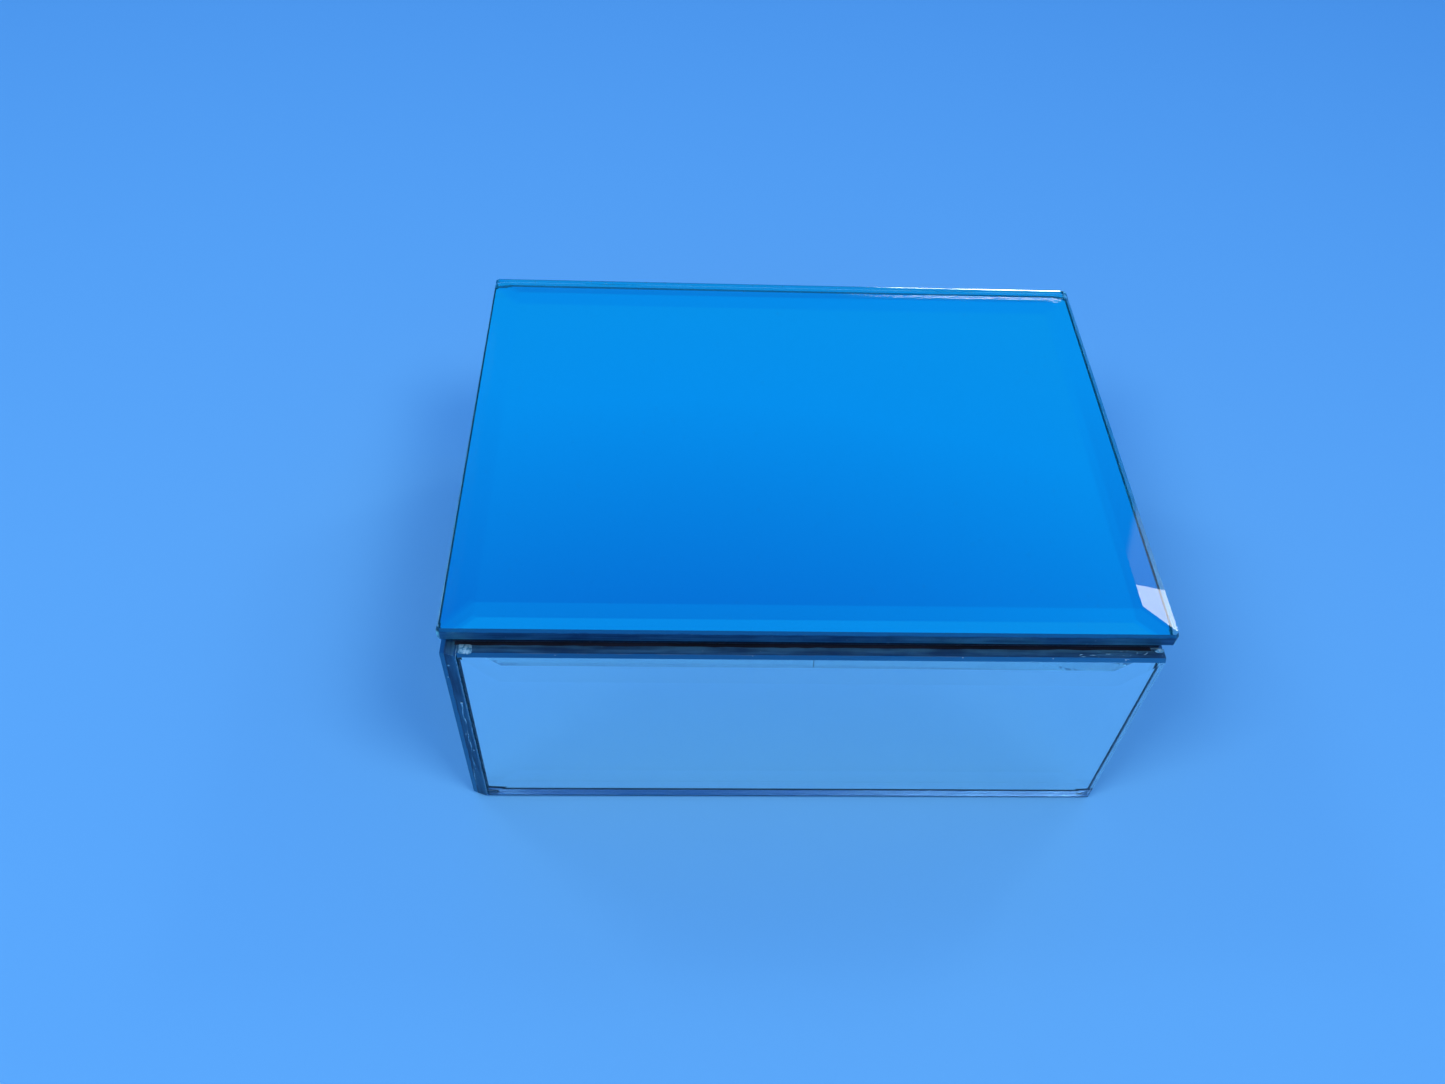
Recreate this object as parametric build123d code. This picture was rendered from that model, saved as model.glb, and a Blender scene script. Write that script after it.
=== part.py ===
"""Mirrored trinket box: bevelled mirror panels glued round a velvet-lined board case, with a hinged mirror lid.

Millimetres, +X to the right, +Y to the back, +Z up. The origin is on the surface that the box stands on,
under the middle of the closed box with its hinges.
"""

from build123d import *

import os
from math import cos, radians, sin

# ---- Mirror glass ----
GLASS = 4.8  # full thickness of a mirror
WALL_BEVEL = 10.0  # width of the bevel round the face of each wall's mirror
LID_BEVEL = 8.0  # and round the lid's
BEVEL_DROP = 0.8  # how far the bevel runs down to the rim
LAND = GLASS - BEVEL_DROP  # thickness left at the rim
ARRIS_DEPTH = 1.2  # ground edge between bevel and rim, measured through the thickness
ARRIS_WIDTH = 0.4  # the same ground edge, measured across the face
CORNER_DUB = 0.8  # corners of the lid glass are ground off by this much
END_SLANT = 1.4  # the exposed end of a side mirror is ground back by this much at its outer side

# ---- Box ----
FRONT_MIRROR_WIDTH = 180.0
GLUE = 0.2  # clear adhesive in the upright corner joints
BOX_WIDTH = FRONT_MIRROR_WIDTH + LAND + GLUE  # over the rims of the side mirrors
BOX_DEPTH = 144.0  # over the rims of the front and back mirrors
MIRROR_HEIGHT = 72.0
MIRROR_BOTTOM = 0.8  # the mirrors end this far above the surface
BACKING_GAP = 0.3  # silvering, paint and adhesive behind each mirror
BOARD = 3.0
FELT = 1.0
FELT_INSET = 2.0  # from the edge of the base board
LINING = 1.2  # velvet over card
NAP = 0.3  # room between one lined piece and the next
FLOOR_PAD = 6.0
FLOOR_PAD_ROUND = 2.0
BOARD_BELOW_RIM = 0.3  # tops of the boards and linings, below the tops of the mirrors

# ---- Lid ----
LID_WIDTH = 187.2
LID_DEPTH = 140.0
LID_BACK_INSET = 0.3  # back edge of the lid glass, in front of the back mirror's rim
LID_RIGHT_SHIFT = 1.0  # the lid is glued on slightly to the right
LID_GAP = 2.2  # between the mirrors' tops and the lid glass
LID_BOARD_WIDTH = 180.0
LID_BOARD_FRONT_INSET = 0.7  # behind the front edge of the lid glass
LID_BOARD_BACK_INSET = 0.6
LID_BOARD_CLEARANCE = 0.15  # above the mirrors' tops, and below the lid glass
LID_PAD = 3.0
LID_PAD_MARGIN = 1.5  # round the pad, to the wall linings
LID_PAD_ROUND = 1.2

# ---- Hinges ----
LID_TRAVEL = 100.0  # degrees, where the stop lug meets the fixed leaf
HINGE_SPACING = 110.0  # from one hinge's middle to the other's
LEAF = 0.7
LEAF_WIDTH = 18.0
LEAF_TAB = 12.0  # how far the fixed leaf's tab reaches down behind the back mirror
LID_LEAF_REACH = 13.0  # how far the lid leaf lies over the lid board
KNUCKLE_RADIUS = 1.6
KNUCKLE_LENGTH = 5.0  # each of the two outer knuckles
KNUCKLE_END_GAP = 0.2
KNUCKLE_CLEARANCE = 0.3  # from the back mirror's face, and from the leaf's cut-out
PIN_RADIUS = 0.8
PIN_CLEARANCE = 0.05
PIN_HEAD = 0.5  # how far the pin's peened ends stand out of the knuckles
PIN_HEAD_RADIUS = 1.1
LUG_REACH = (1.3, 2.5)  # inner and outer reach of the stop lug in front of the pin, lid open
LUG_THICKNESS = 0.8
LUG_CLEARANCE = 0.1
BOARD_NOTCH_MARGIN = 0.4  # round the leaves, in the boards

SCREW_RADIUS = 0.9
SCREW_HEAD_RADIUS = 1.7
SCREW_HEAD = 0.55
SCREW_LENGTH = 3.2
SCREW_SPREAD = 10.0  # between a hinge's two screws
SCREW_SLOT = (0.35, 0.25)  # width and depth of the driver slot
SCREW_DROP = 7.5  # from the leaf's top face down to the screws

# ---- Places worked out from the sizes above ----
MIRROR_TOP = MIRROR_BOTTOM + MIRROR_HEIGHT
LID_GLASS_BOTTOM = MIRROR_TOP + LID_GAP
HINGE_Z = MIRROR_TOP + LID_GAP / 2

# The box stands off centre under its own bounding box, because the lid and hinges reach past it.
LUG_BACK_REACH = (LID_GAP / 2 + LUG_CLEARANCE + LUG_THICKNESS) * sin(radians(LID_TRAVEL)) - LUG_REACH[1] * cos(
    radians(LID_TRAVEL)
)
HINGE_SETBACK = BEVEL_DROP + KNUCKLE_CLEARANCE + KNUCKLE_RADIUS  # behind the back mirror's rim
BOX_CX = (BOX_WIDTH / 2 + BEVEL_DROP - LID_WIDTH / 2 - LID_RIGHT_SHIFT) / 2
BOX_CY = (BEVEL_DROP - HINGE_SETBACK - LUG_BACK_REACH) / 2

X_LEFT = BOX_CX - BOX_WIDTH / 2
X_RIGHT = BOX_CX + BOX_WIDTH / 2
Y_FRONT = BOX_CY - BOX_DEPTH / 2
Y_BACK = BOX_CY + BOX_DEPTH / 2
HINGE_Y = Y_BACK + HINGE_SETBACK
HINGE_XS = {"left": BOX_CX - HINGE_SPACING / 2, "right": BOX_CX + HINGE_SPACING / 2}

CASE_WIDTH = BOX_WIDTH - 2 * (LAND + BACKING_GAP)  # over the boards
CASE_DEPTH = BOX_DEPTH - 2 * (LAND + BACKING_GAP)
BASE_TOP = FELT + BOARD
BOARD_TOP = MIRROR_TOP - BOARD_BELOW_RIM
ROOM_WIDTH = CASE_WIDTH - 2 * (BOARD + LINING)  # inside the linings
ROOM_DEPTH = CASE_DEPTH - 2 * (BOARD + LINING)

FROM_BELOW = (Align.CENTER, Align.CENTER, Align.MIN)


def outline(width, height, y, dub):
    """An upright rectangle at y, standing on z = 0, with its corners ground off by dub."""
    face = Rectangle(width, height)
    if dub:
        face = chamfer(face.vertices(), dub)
    return Plane.XZ.offset(-y) * Pos(0, height / 2) * face


def bevelled_mirror(width, height, bevel, dub=0.0):
    """A mirror standing on z = 0, its rim at y = 0, its bevelled face towards -Y and its silvered face at LAND."""
    rim = outline(width, height, ARRIS_DEPTH, dub)
    ground = Pos(0, 0, ARRIS_WIDTH) * outline(width - 2 * ARRIS_WIDTH, height - 2 * ARRIS_WIDTH, 0, dub)
    flat = Pos(0, 0, bevel) * outline(width - 2 * bevel, height - 2 * bevel, -BEVEL_DROP, dub)
    slab = extrude(rim, amount=LAND - ARRIS_DEPTH, dir=(0, 1, 0))
    return slab + loft([rim, ground]) + loft([ground, flat])


def slanted_end(mirror, x_end):
    """Grinds the exposed end of a side mirror back towards its outer side."""
    inner, outer = (x_end, LAND), (x_end + END_SLANT, 0)
    beyond = 2 * GLASS
    wedge = Polyline(
        (x_end, 2 * LAND),
        inner,
        outer,
        (x_end + 2 * END_SLANT, -LAND),
        (x_end - beyond, -LAND),
        (x_end - beyond, 2 * LAND),
        close=True,
    )
    return mirror - extrude(make_face(wedge), amount=2 * MIRROR_HEIGHT, both=True)


def mirrors():
    """Four mirrors overlapping like a pinwheel: each covers the end of the next."""
    side_length = BOX_DEPTH - LAND - GLUE
    long = bevelled_mirror(FRONT_MIRROR_WIDTH, MIRROR_HEIGHT, WALL_BEVEL)
    short = slanted_end(bevelled_mirror(side_length, MIRROR_HEIGHT, WALL_BEVEL), -side_length / 2)
    offset_long = (BOX_WIDTH - FRONT_MIRROR_WIDTH) / 2
    offset_short = (BOX_DEPTH - side_length) / 2
    centre = Pos(BOX_CX, BOX_CY, MIRROR_BOTTOM)
    # A side mirror is made with its exposed end at -X, which the turn below brings to the front or the back.
    left = Rot(0, 0, -90) * mirror(short, Plane.YZ)
    front = centre * Pos(offset_long, -BOX_DEPTH / 2) * long
    left = centre * Pos(-BOX_WIDTH / 2, -offset_short) * left
    half_turn = centre * Rot(0, 0, 180) * centre.inverse()
    return {
        "front_mirror": front,
        "back_mirror": half_turn * front,
        "left_mirror": left,
        "right_mirror": half_turn * left,
    }


def corner_adhesive():
    """The clear glue in the four upright joints, between each covering mirror and the next one's silvered face."""
    half_w = BOX_WIDTH / 2 - LAND - GLUE / 2
    half_d = BOX_DEPTH / 2 - LAND - GLUE / 2
    beside = Pos(-half_w, -BOX_DEPTH / 2 + LAND / 2) * Box(GLUE, LAND - ARRIS_DEPTH, MIRROR_HEIGHT, align=FROM_BELOW)
    behind = Pos(BOX_WIDTH / 2 - LAND / 2, -half_d) * Box(
        LAND - ARRIS_DEPTH, GLUE, MIRROR_HEIGHT, align=FROM_BELOW
    )
    centre = Pos(BOX_CX, BOX_CY, MIRROR_BOTTOM)
    return Compound([centre * Rot(0, 0, turn) * bead for turn in (0, 180) for bead in (beside, behind)])


def upright(width, depth, x, y, bottom, top):
    """A wall piece of this size, round (x, y) in the box's own centre lines."""
    return Pos(BOX_CX + x, BOX_CY + y, bottom) * Box(width, depth, top - bottom, align=FROM_BELOW)


def wall_set(kind, width, depth, thickness, bottom, top, gap=0.0):
    """Front and back pieces of the full width, with the left and right ones between them."""
    side = depth - 2 * thickness - 2 * gap
    half_w, half_d = (width - thickness) / 2, (depth - thickness) / 2
    return {
        f"front_{kind}": upright(width, thickness, 0, -half_d, bottom, top),
        f"back_{kind}": upright(width, thickness, 0, half_d, bottom, top),
        f"left_{kind}": upright(thickness, side, -half_w, 0, bottom, top),
        f"right_{kind}": upright(thickness, side, half_w, 0, bottom, top),
    }


def base():
    """The base board, the felt glued under it and the padded floor that drops in on top."""
    felt = upright(CASE_WIDTH - 2 * FELT_INSET, CASE_DEPTH - 2 * FELT_INSET, 0, 0, 0, FELT)
    pad = upright(ROOM_WIDTH - 2 * NAP, ROOM_DEPTH - 2 * NAP, 0, 0, BASE_TOP, BASE_TOP + FLOOR_PAD)
    return {
        "base_board": upright(CASE_WIDTH, CASE_DEPTH, 0, 0, FELT, BASE_TOP),
        "base_felt": felt,
        "floor_pad": fillet(pad.edges().group_by(Axis.Z)[-1], FLOOR_PAD_ROUND),
    }


def lid():
    """The bevelled lid mirror, the velvet-wrapped board under it and the pad that drops between the walls."""
    lid_back = Y_BACK - LID_BACK_INSET
    lid_cx = BOX_CX + LID_RIGHT_SHIFT
    lid_cy = lid_back - LID_DEPTH / 2
    glass = Rot(-90, 0, 0) * Pos(0, -LAND, -LID_DEPTH / 2) * bevelled_mirror(
        LID_WIDTH, LID_DEPTH, LID_BEVEL, CORNER_DUB
    )
    board_depth = LID_DEPTH - LID_BOARD_FRONT_INSET - LID_BOARD_BACK_INSET
    board_bottom = MIRROR_TOP + LID_BOARD_CLEARANCE
    board_cy = lid_cy + (LID_BOARD_FRONT_INSET - LID_BOARD_BACK_INSET) / 2
    board = Pos(lid_cx, board_cy, board_bottom) * Box(
        LID_BOARD_WIDTH, board_depth, LID_GAP - 2 * LID_BOARD_CLEARANCE, align=FROM_BELOW
    )
    pad = upright(
        ROOM_WIDTH - 2 * LID_PAD_MARGIN,
        ROOM_DEPTH - 2 * LID_PAD_MARGIN,
        0,
        0,
        board_bottom - LID_PAD,
        board_bottom,
    )
    return {
        "lid_mirror": Pos(lid_cx, lid_cy, LID_GLASS_BOTTOM) * glass,
        "lid_board": board,
        "lid_pad": fillet(pad.edges().group_by(Axis.Z)[0], LID_PAD_ROUND),
    }


def rod(radius, length, x=0.0):
    """A bar along X, its middle at x on the hinge line."""
    return Pos(x, 0, 0) * Rot(0, 90, 0) * Cylinder(radius, length)


def block(x_size, y_range, z_range):
    """A block across the hinge, from one y to another and one z to another."""
    (y_low, y_high), (z_low, z_high) = y_range, z_range
    middle = Pos(0, (y_low + y_high) / 2, (z_low + z_high) / 2)
    return middle * Box(x_size, y_high - y_low, z_high - z_low)


def screw():
    """A countersunk screw along +Y from its head's face at the origin, pointing to -Y."""
    head = Pos(0, -SCREW_HEAD / 2, 0) * Rot(90, 0, 0) * Cone(SCREW_HEAD_RADIUS, SCREW_RADIUS, SCREW_HEAD)
    shank = Pos(0, -SCREW_LENGTH / 2, 0) * Rot(90, 0, 0) * Cylinder(SCREW_RADIUS, SCREW_LENGTH)
    slot_width, slot_depth = SCREW_SLOT
    slot = Pos(0, -slot_depth / 2, 0) * Box(2 * SCREW_HEAD_RADIUS, slot_depth, slot_width)
    return head + shank - slot


def screw_places():
    """Where the two screws of a hinge go, relative to the hinge line."""
    y = -HINGE_SETBACK - LAND - (BACKING_GAP - (LEAF - leaf_recess())) / 2
    z = -LID_GAP / 2 + LEAF - SCREW_DROP
    return [Pos(side * SCREW_SPREAD / 2, y, z) for side in (-1, 1)]


def leaf_recess():
    """How deep the back board is cut for the fixed leaf's tab."""
    return LEAF - BACKING_GAP / 2


def fixed_leaf():
    """The leaf on the box: two knuckles, a web over the back mirror's top edge and a tab down behind it."""
    web_bottom = -LID_GAP / 2
    tab_back = screw_places()[0].position.Y
    outer_x = (LEAF_WIDTH - KNUCKLE_LENGTH) / 2
    web = block(LEAF_WIDTH, (tab_back - LEAF, 0), (web_bottom, web_bottom + LEAF))
    tab = block(LEAF_WIDTH, (tab_back - LEAF, tab_back), (web_bottom + LEAF - LEAF_TAB, web_bottom + LEAF))
    gap = LEAF_WIDTH - 2 * KNUCKLE_LENGTH
    reach = KNUCKLE_RADIUS + KNUCKLE_CLEARANCE
    room_for_knuckle = block(gap, (-reach, reach), (-reach, reach))
    leaf = web + tab - room_for_knuckle
    for side in (-1, 1):
        leaf += rod(KNUCKLE_RADIUS, KNUCKLE_LENGTH, side * outer_x)
    leaf -= rod(PIN_RADIUS, LEAF_WIDTH)
    for place in screw_places():
        leaf -= place * screw()
    return leaf


def lid_leaf():
    """The leaf under the lid glass: a flat plate, one knuckle and the lug that stops the lid."""
    knuckle_length = LEAF_WIDTH - 2 * (KNUCKLE_LENGTH + KNUCKLE_END_GAP)
    plate_top = LID_GAP / 2 - LID_BOARD_CLEARANCE / 2
    plate_z = (plate_top - LEAF, plate_top)
    reach = KNUCKLE_RADIUS + KNUCKLE_CLEARANCE
    plate_front = -HINGE_SETBACK - LAND - BOARD - LID_LEAF_REACH
    plate = block(LEAF_WIDTH, (plate_front, -reach), plate_z)
    neck = block(knuckle_length, (-reach, 0), plate_z)
    inner, outer = LUG_REACH
    lug_top = -LID_GAP / 2 - LUG_CLEARANCE
    open_lug = block(knuckle_length, (-outer, -inner), (lug_top - LUG_THICKNESS, lug_top))
    open_lug += block(knuckle_length, (-inner, 0), (lug_top - LUG_THICKNESS, 0))
    lug = Rot(LID_TRAVEL, 0, 0) * open_lug
    leaf = plate + neck + rod(KNUCKLE_RADIUS, knuckle_length) + lug
    return leaf - rod(PIN_RADIUS + PIN_CLEARANCE, LEAF_WIDTH)


def pin():
    """The hinge pin, with its peened ends."""
    shape = rod(PIN_RADIUS, LEAF_WIDTH)
    for side in (-1, 1):
        shape += rod(PIN_HEAD_RADIUS, PIN_HEAD, side * (LEAF_WIDTH + PIN_HEAD) / 2)
    return shape


def hinge_line(side):
    return Pos(HINGE_XS[side], HINGE_Y, HINGE_Z)


def hinges():
    parts = {}
    for side in HINGE_XS:
        parts[f"{side}_hinge_leaf"] = hinge_line(side) * fixed_leaf()
        parts[f"{side}_lid_leaf"] = hinge_line(side) * lid_leaf()
        parts[f"{side}_hinge_pin"] = hinge_line(side) * pin()
    screws = [hinge_line(side) * place * screw() for side in HINGE_XS for place in screw_places()]
    parts["hinge_screws"] = Compound(screws)
    return parts


def make_room_for_hinges(parts):
    """Cuts the back board for the leaf tabs and screws, and the lid board and linings for the leaves."""
    tab_front = screw_places()[0].position.Y - LEAF - BOARD_NOTCH_MARGIN / 4
    wide = LEAF_WIDTH + 2 * BOARD_NOTCH_MARGIN
    notch_front = -HINGE_SETBACK - LAND - BOARD - BOARD_NOTCH_MARGIN
    leaf_front = notch_front - LID_LEAF_REACH
    plate_bottom = LID_GAP / 2 - LID_BOARD_CLEARANCE / 2 - LEAF
    for side in HINGE_XS:
        place = hinge_line(side)
        tab_room = block(wide, (tab_front, 0), (-LEAF_TAB - BOARD_NOTCH_MARGIN, LID_GAP))
        parts["back_board"] -= place * tab_room
        parts["lid_board"] -= place * block(wide, (notch_front, 0), (-LID_GAP, LID_GAP))
        parts["lid_board"] -= place * block(wide, (leaf_front, 0), (plate_bottom - LID_BOARD_CLEARANCE / 2, LID_GAP))
        for spot in screw_places():
            parts["back_board"] -= place * spot * screw()


def build():
    parts = mirrors()
    parts["corner_adhesive"] = corner_adhesive()
    parts |= wall_set("board", CASE_WIDTH, CASE_DEPTH, BOARD, BASE_TOP, BOARD_TOP)
    parts |= wall_set("lining", CASE_WIDTH - 2 * BOARD, CASE_DEPTH - 2 * BOARD, LINING, BASE_TOP, BOARD_TOP)
    parts |= base()
    parts |= lid()
    parts |= hinges()
    make_room_for_hinges(parts)
    return parts


os.makedirs("parts", exist_ok=True)
for node, shape in build().items():
    export_step(shape, f"parts/{node}.step")
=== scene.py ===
import math
import random

import bmesh
import bpy
from mathutils import Matrix, Quaternion, Vector, noise


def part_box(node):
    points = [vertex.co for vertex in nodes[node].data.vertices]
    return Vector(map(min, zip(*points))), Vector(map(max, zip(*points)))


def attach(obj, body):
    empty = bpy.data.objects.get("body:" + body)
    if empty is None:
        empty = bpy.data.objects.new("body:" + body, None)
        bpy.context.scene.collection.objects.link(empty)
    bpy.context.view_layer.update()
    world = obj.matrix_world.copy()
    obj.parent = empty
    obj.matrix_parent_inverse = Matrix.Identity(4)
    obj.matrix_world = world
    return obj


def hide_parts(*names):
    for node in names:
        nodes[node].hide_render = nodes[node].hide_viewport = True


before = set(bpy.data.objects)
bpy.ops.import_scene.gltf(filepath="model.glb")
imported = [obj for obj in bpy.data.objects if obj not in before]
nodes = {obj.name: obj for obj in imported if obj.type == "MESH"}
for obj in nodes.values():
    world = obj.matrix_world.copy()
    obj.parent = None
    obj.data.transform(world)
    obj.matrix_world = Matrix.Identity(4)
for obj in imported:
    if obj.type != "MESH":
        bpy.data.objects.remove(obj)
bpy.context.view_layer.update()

MM = 0.001

# ---- Mirrors, as the frame has them: the axis each faces along, and the side its silvering is on ----
PANES = {
    "front_mirror": (1, 1),
    "back_mirror": (1, -1),
    "left_mirror": (0, 1),
    "right_mirror": (0, -1),
    "lid_mirror": (2, -1),
}
BEVEL_DROP = 0.8 * MM  # how much thinner the glass is at its rim
LAND = 4.0 * MM  # the rim that is left there
ARRIS = 1.2 * MM  # the part of it that was ground off as its outer corner
END_SLANT = 1.4 * MM  # how far a side mirror's exposed end slants over the rim
SILVER_GAP = 0.01 * MM  # between the glass and each coat
SILVER = 0.04 * MM
PAINT = 0.05 * MM
PAINT_SEED = 9
SILVER_INSET = 0.10 * MM  # from the coats' edges to the glass's

# ---- Widths of broken edges ----
GLASS_EDGE = 0.12 * MM
BOARD_EDGE = 0.15 * MM
METAL_EDGE = 0.07 * MM
SCREW_EDGE = 0.04 * MM
VELVET_EDGE = 0.35 * MM

# ---- Linings ----
LINING = 1.2 * MM  # their thickness in the frame
BOARD = 3.0 * MM
BACKING_GAP = 0.3 * MM  # between a board and its mirror
WRAP = 0.35 * MM  # how high the velvet stands over a board's top
NAP_OVERHANG = 0.5 * MM  # how far its cut edge reaches past the gap
LEAF_ROOM = 9.8 * MM  # half the width that is cut back for a hinge leaf
LEAF_SETBACK = 0.8 * MM  # how far it is cut back from the board's edge
LEAF_EASE = 0.3 * MM

# ---- Pads ----
PAD_PRESSURE = 4.0
PAD_SHRINK = (0.4 * MM, 0.4 * MM, 0.05 * MM)  # what the foam leaves free on each side before it swells
PAD_VOXEL = 1.6 * MM
PAD_CORNER = 0.9 * MM
PAD_GLUED = 0.9 * MM  # how far from its backing a pad is held
PAD_PULL = 0.5 * MM  # how far its sides pull in
FLOOR_CROWN = 1.6 * MM
LID_CROWN = 0.9 * MM

# Where the silvering is chipped: (side, place along it, half width, depth), as worn_outline takes them.
SILVER_CHIPS = {
    "front_mirror": (
        (0, 0.011, 1.3 * MM, 1.0 * MM),
        (0, 0.984, 1.0 * MM, 0.7 * MM),
        (2, 0.500, 0.10 * MM, 6.5 * MM),
    ),
    "back_mirror": ((0, 0.30, 0.8 * MM, 0.5 * MM), (0, 0.985, 1.2 * MM, 0.8 * MM)),
    "left_mirror": ((0, 0.02, 1.0 * MM, 0.7 * MM), (0, 0.72, 0.6 * MM, 0.4 * MM)),
    "right_mirror": ((0, 0.97, 1.1 * MM, 0.8 * MM),),
}
# Glue on a side mirror's exposed end: runs as (place across, top, bottom, sway, radius), and drops as
# (place across, height, size).
GLUE_RUNS = (
    (0.30, 0.69, 0.54, 0.10, 0.16 * MM),
    (0.34, 0.50, 0.34, 0.12, 0.14 * MM),
    (0.42, 0.30, 0.22, 0.08, 0.12 * MM),
    (0.62, 0.20, 0.06, 0.05, 0.10 * MM),
    (0.24, 0.70, 0.66, 0.22, 0.20 * MM),
)
GLUE_DROPS = (
    (0.24, 0.695, 0.36 * MM),
    (0.20, 0.36, 0.26 * MM),
    (0.50, 0.47, 0.20 * MM),
    (0.60, 0.16, 0.24 * MM),
    (0.55, 0.93, 0.30 * MM),
    (0.78, 0.85, 0.16 * MM),
    (0.36, 0.24, 0.18 * MM),
)

# ---- Camera: place in widths of the front mirror, from the left end of its rim ----
CAMERA_OFFSET = Vector((0.2991, -0.9255, 1.7455))
CAMERA_FORWARD = Vector((0.04196, 0.64530, -0.76278))
CAMERA_RIGHT = Vector((0.99905, -0.01787, 0.03985))
SENSOR = 36.0
LENS = 29.09

# ---- Ground edges: told apart by how much of a surface's normal lies along an axis ----
FACE_SHARE = 0.98  # more than this along the mirror's own axis is a polished face or bevel
ARRIS_SHARE = 0.2  # more than this along the mirror's own axis is the broken corner of a ground edge
SIDE_SHARE = 0.5  # more than this up or down is a level edge, and left or right a flank of the lid
# How much of a ground edge is its own satin surface. The rest is clear glass.
EDGE_BODY = 0.82  # seen from outside
LID_SIDE_BODY = 0.25  # the lid's left and right edges, seen from outside
EDGE_BODY_WITHIN = 0.12  # seen from inside the glass
FOOT_BODY_WITHIN = 0.88  # a wall's level edges and the lid's left and right edges, seen from inside
POLISH = 0.06  # roughness where an edge is polished
GRIND_ALONG = 60.0  # how fine the grinding's streaks are along an edge, and across it
GRIND_ACROSS = 900.0

# ---- Colours ----
EDGE_DEEP = (0.016, 0.055, 0.110)
EDGE_MID = (0.050, 0.160, 0.235)
EDGE_BAND = (0.048, 0.230, 0.330)
EDGE_PALE = (0.420, 0.640, 0.740)
FOOT_WITHIN = (0.030, 0.260, 0.600)
FOOT_ARRIS = (0.004, 0.050, 0.140)
LID_FLANK_WITHIN = (0.100, 0.550, 0.750)
# Painted light: the band colour of the walls' up-facing ground edges, which are painted as if lit from above.
TOP_BAND_PAINTED_LIGHT = (0.004, 0.105, 0.270)
# Painted light: the lid's ground edges are painted this much lighter than the walls'.
LID_EDGE_PAINTED_LIGHT_GAIN = 1.4
# Painted light: how much lighter the walls' up-facing ground edges are painted.
TOP_EDGE_PAINTED_LIGHT_GAIN = 2.0
VELVET_DEEP = (0.003, 0.003, 0.006, 1.0)
VELVET_RAISED = (0.011, 0.011, 0.019, 1.0)
LINT = (0.30, 0.32, 0.38, 1.0)
NICKEL_DULL = (0.46, 0.44, 0.40)
NICKEL_BRIGHT = (0.76, 0.74, 0.69)

# ---- Studio ----
FLOOR_COLOUR = (0.165, 0.47, 0.76, 1.0)
FLOOR_RADIUS = 4.0
WORLD_STOPS = (
    (0.0, (0.06, 0.34, 0.66, 1.0)),
    (0.50, (0.004, 0.33, 0.85, 1.0)),
    (0.68, (0.002, 0.29, 0.91, 1.0)),
    (0.84, (0.002, 0.14, 0.66, 1.0)),
    (0.93, (0.003, 0.09, 0.40, 1.0)),
)
PANEL_EDGES = {"X": (0.505, 0.511), "Y": (0.30, 0.36), "Z": (0.76, 0.70)}
PANEL_COLOUR = (0.75, 0.95, 1.20, 1.0)
# Softboxes: azimuth, elevation, size, radiance and roll. Azimuth 0 is behind the box, 90 to its right.
LIGHT_DISTANCE = 1.3
SOFTBOXES = {
    "front_left_light": (-129.0, 56.0, 0.40, 9.8, 0.0),
    "front_right_light": (133.0, 61.0, 0.40, 9.8, 0.0),
    "back_left_light": (-56.0, 45.0, 0.22, 7.0, 0.0),
    "back_right_light": (51.7, 43.8, 0.16, 7.5, 33.0),
}


# ---------------------------------------------------------------- small helpers


class Nodes:
    """A material's node tree, with short calls for adding and joining nodes."""

    def __init__(self, name):
        self.material = bpy.data.materials.new(name)
        self.material.use_nodes = True
        self.tree = self.material.node_tree
        self.shader = self.tree.nodes["Principled BSDF"]

    def put(self, socket, value):
        if isinstance(value, bpy.types.NodeSocket):
            self.tree.links.new(value, socket)
        elif value is not None:
            socket.default_value = value

    def set(self, **values):
        """Sets the main shader's sockets, as Base_Color=..., to constants or to other sockets."""
        for name, value in values.items():
            self.put(self.shader.inputs[name.replace("_", " ")], value)

    def node(self, kind, values=(), **settings):
        made = self.tree.nodes.new(kind)
        for name, value in settings.items():
            setattr(made, name, value)
        for name, value in dict(values).items():
            self.put(made.inputs[name], value)
        return made

    def maths(self, operation, a, b=None):
        made = self.node("ShaderNodeMath", operation=operation)
        for socket, value in zip(made.inputs, (a, b)):
            self.put(socket, value)
        return made.outputs[0]

    def mix(self, factor, a, b):
        made = self.node("ShaderNodeMix", data_type="RGBA")
        self.put(made.inputs["Factor"], factor)
        self.put(made.inputs["A"], a)
        self.put(made.inputs["B"], b)
        return made.outputs["Result"]

    def between(self, factor, a, b):
        """A number that goes from a to b as factor goes from 0 to 1."""
        made = self.node("ShaderNodeMapRange", {"Value": factor, "To Min": a, "To Max": b})
        return made.outputs["Result"]

    def mix_number(self, factor, a, b):
        made = self.node("ShaderNodeMix", data_type="FLOAT")
        for socket, value in zip(made.inputs[:1] + made.inputs[2:4], (factor, a, b)):
            self.put(socket, value)
        return made.outputs[0]

    def ramp(self, value, low, high, from_value=0.0, to_value=1.0):
        """Smoothly from from_value to to_value as value goes from low to high."""
        made = self.node(
            "ShaderNodeMapRange",
            {"Value": value, "From Min": low, "From Max": high, "To Min": from_value, "To Max": to_value},
            interpolation_type="SMOOTHSTEP",
        )
        return made.outputs["Result"]

    def place(self):
        return self.node("ShaderNodeTexCoord").outputs["Object"]

    def stretched(self, scale):
        """The place on the object, with each axis scaled."""
        made = self.node("ShaderNodeMapping", {"Vector": self.place(), "Scale": scale})
        return made.outputs["Vector"]

    def noise(self, scale, detail, rough, vector=None):
        made = self.node(
            "ShaderNodeTexNoise",
            {"Vector": vector or self.place(), "Scale": scale, "Detail": detail, "Roughness": rough},
        )
        return made.outputs["Fac"]

    def bump(self, height, distance, strength=1.0):
        made = self.node("ShaderNodeBump", {"Height": height, "Distance": distance, "Strength": strength})
        return made.outputs["Normal"]


def rgb(red, green, blue):
    return (red, green, blue, 1.0)


def shade(colour, gain=1.0):
    """A colour made lighter or darker."""
    return rgb(*(gain * part for part in colour))


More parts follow.
